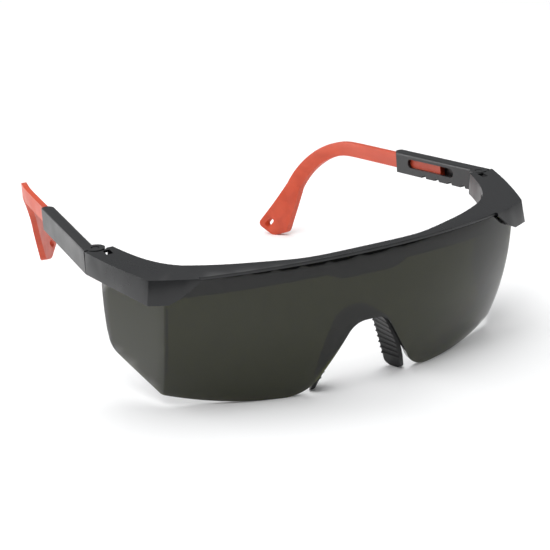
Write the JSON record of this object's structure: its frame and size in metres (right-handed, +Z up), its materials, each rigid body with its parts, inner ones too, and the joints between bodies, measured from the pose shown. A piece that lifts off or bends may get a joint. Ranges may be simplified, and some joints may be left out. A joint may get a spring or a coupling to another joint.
{
  "type": "safety glasses",
  "caption": "Wraparound safety glasses with a tinted one-piece lens, black brow frame, and orange temples that tilt, fold and slide in length.",
  "frame": {"origin": "middle of the bottom of the glasses' box, on the surface that they stand on", "axes": "+X to the glasses' own left-right line, image right; -Y is the way the wearer looks; +Z up. The temples run back along +Y"},
  "size_m": [0.147, 0.1662, 0.0488],
  "materials": {
    "black_frame": "semi-gloss moulded, faint texture",
    "black_hinge": "semi-gloss moulded",
    "black_housing": "semi-gloss moulded",
    "hinge_pin": "smooth",
    "tinted_lens": "polished dark grey-green filter",
    "nose_pad": "soft satin, ribbed",
    "orange_arm": "satin moulded nylon"
  },
  "bodies": {
    "front": {"brow_frame": "black_frame", "filter_lens": "tinted_lens", "nose_bridge": "nose_pad", "tilt_pin_left": "hinge_pin", "tilt_pin_right": "hinge_pin"},
    "hinge_left": {"hinge_block_left": "black_hinge"},
    "housing_left": {"temple_housing_left": "black_housing", "fold_pin_left": "hinge_pin"},
    "arm_left": {"temple_arm_left": "orange_arm"},
    "hinge_right": {"hinge_block_right": "black_hinge"},
    "housing_right": {"temple_housing_right": "black_housing", "fold_pin_right": "hinge_pin"},
    "arm_right": {"temple_arm_right": "orange_arm"}
  },
  "joints": [
    {"name": "tilt_left", "type": "hinge", "parent": "front", "child": "hinge_left", "pos_m": [-0.0673, -0.04298, 0.04392], "axis": [1, 0, 0], "range_deg": [-4, 4]},
    {"name": "fold_left", "type": "hinge", "parent": "hinge_left", "child": "housing_left", "pos_m": [-0.0694, -0.03748, 0.044], "axis": [0, -0.0144, 0.9999], "range_deg": [-74, 0]},
    {"name": "slide_left", "type": "slide", "parent": "housing_left", "child": "arm_left", "axis": [0.0802, 0.9967, 0.0144], "range_m": [-0.0148, 0.0074]},
    {"name": "tilt_right", "type": "hinge", "parent": "front", "child": "hinge_right", "pos_m": [0.0673, -0.04298, 0.04392], "axis": [1, 0, 0], "range_deg": [0, 8]},
    {"name": "fold_right", "type": "hinge", "parent": "hinge_right", "child": "housing_right", "pos_m": [0.0694, -0.03749, 0.04362], "axis": [0, 0.0553, 0.9985], "range_deg": [0, 83]},
    {"name": "slide_right", "type": "slide", "parent": "housing_right", "child": "arm_right", "axis": [-0.0802, 0.9953, -0.0552], "range_m": [-0.0148, 0.0074]}
  ]
}
